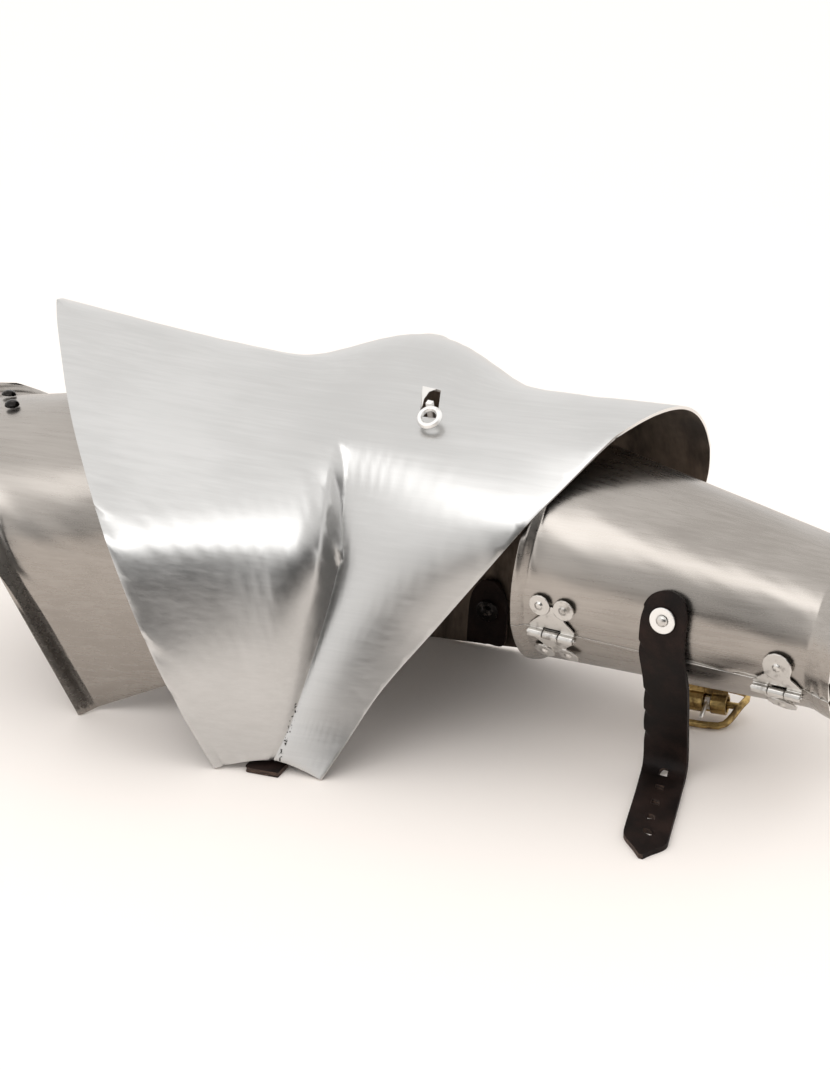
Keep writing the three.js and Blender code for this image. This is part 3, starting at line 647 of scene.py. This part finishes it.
for item in castings:
    piece = dressed(item["node"], openCopy(item["node"]), [item["finish"]])
    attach(piece, bodyOf[item["node"]])
    remesh = piece.modifiers.new("soften", "REMESH")
    remesh.mode = "VOXEL"
    remesh.voxel_size = item["voxel"]
    remesh.use_smooth_shade = True
    relax = piece.modifiers.new("relax", "SMOOTH")
    relax.factor = wear["factor"]
    relax.iterations = wear["rounds"]
print("cast fittings dressed")

# camera at the photograph's viewing angle
view = {
    "azimuth": 20.0, "elevation": 24.0, "place": (0.469242, -1.260106, 0.69075),
    "lens": 105.98, "sensor": 36.0, "far": 100.0,
}
turn = math.radians(view["azimuth"])
rise = math.radians(view["elevation"])
sideways = Vector((math.cos(turn), math.sin(turn), 0.0))
upwards = Vector((-math.sin(turn) * math.sin(rise), math.cos(turn) * math.sin(rise), math.cos(rise)))
backwards = sideways.cross(upwards)
cameraData = bpy.data.cameras.new("camera")
cameraData.lens = view["lens"]
cameraData.sensor_width = view["sensor"]
cameraData.sensor_fit = "AUTO"
cameraData.clip_end = view["far"]
camera = bpy.data.objects.new("camera", cameraData)
facing = Matrix((sideways, upwards, backwards)).transposed().to_4x4()
camera.matrix_world = Matrix.Translation(view["place"]) @ facing
bpy.context.scene.collection.objects.link(camera)
bpy.context.scene.camera = camera

# pale floor cloth
floor = {
    "half": 12.0,
    "colour": rgb(0.97, 0.91, 0.86),
    "roughness": 0.9,
    "folds": {"stretch": (6.0, 14.0, 1.0), "detail": 3.0, "roughness": 0.55},
    "foldHeight": 1.5 * mm,
    "foldStrength": 0.25,
}
cloth, finish, shader = newFinish("floorCloth")
folds = finish.noise(finish.place(), floor["folds"])
finish.link(shader, {
    "Base Color": floor["colour"],
    "Roughness": floor["roughness"],
    "Normal": finish.bump(folds, floor["foldHeight"], floor["foldStrength"]),
})
bm = bmesh.new()
bmesh.ops.create_grid(bm, x_segments=1, y_segments=1, size=floor["half"])
newObject("floor", bm, [cloth])

# bright all round and above, a dark room in front to the right
studio = {
    "bright": rgb(1.0, 0.99, 0.98), "dark": rgb(0.03, 0.031, 0.031), "strength": 1.2,
    "frontFrom": 0.1, "frontTo": 0.4, "leftFrom": 0.04, "leftTo": 0.3, "low": 0.4, "high": 0.66,
}
world = bpy.data.worlds.new("studio")
world.use_nodes = True
bpy.context.scene.world = world
finish = Finish(world.node_tree)
direction = finish.add("ShaderNodeTexCoord").out("Generated")
x, y, z = finish.axes(direction)
inFront = finish.ramp(0 - y, studio["frontFrom"], studio["frontTo"])
onRight = 1 - finish.ramp(0 - x, studio["leftFrom"], studio["leftTo"])
isLow = 1 - finish.ramp(z, studio["low"], studio["high"])
room = finish.mix(inFront * onRight * isLow, studio["bright"], studio["dark"])
finish.link(world.node_tree.nodes["Background"], {"Color": room, "Strength": studio["strength"]})

# large soft light high in front
lamp = {
    "place": (-0.1, -1.5, 1.75), "target": (0.0, 0.0, 0.08), "width": 1.6, "height": 0.9, "power": 8.0,
}
lightData = bpy.data.lights.new("softLight", "AREA")
lightData.energy = lamp["power"]
lightData.shape = "RECTANGLE"
lightData.size = lamp["width"]
lightData.size_y = lamp["height"]
light = bpy.data.objects.new("softLight", lightData)
aim = (Vector(lamp["target"]) - Vector(lamp["place"])).to_track_quat("-Z", "Y")
light.matrix_world = Matrix.Translation(lamp["place"]) @ aim.to_matrix().to_4x4()
bpy.context.scene.collection.objects.link(light)

# low dark card in front, seen only as a reflection in the steel
card = {
    "centre": (0.88, -0.75, 0.075), "width": 2.0, "height": 0.15, "upright": math.radians(90),
    "colour": rgb(0.012, 0.012, 0.012), "roughness": 0.9,
}
cardBlack, finish, shader = newFinish("cardBlack")
finish.link(shader, {"Base Color": card["colour"], "Roughness": card["roughness"]})
bm = bmesh.new()
bmesh.ops.create_grid(bm, x_segments=1, y_segments=1, size=0.5)
bmesh.ops.scale(bm, vec=(card["width"], card["height"], 1.0), verts=bm.verts)
bmesh.ops.rotate(bm, verts=bm.verts, matrix=Matrix.Rotation(card["upright"], 3, "X"))
bmesh.ops.translate(bm, verts=bm.verts, vec=card["centre"])
cardPiece = newObject("darkCard", bm, [cardBlack])
cardPiece.visible_camera = False
cardPiece.visible_diffuse = False
cardPiece.visible_shadow = False
bpy.context.scene.view_settings.view_transform = "Standard"
bpy.context.scene.view_settings.look = "None"
bpy.context.scene.view_settings.exposure = 0.0
print("camera, floor and light ready")

bpy.context.view_layer.update()
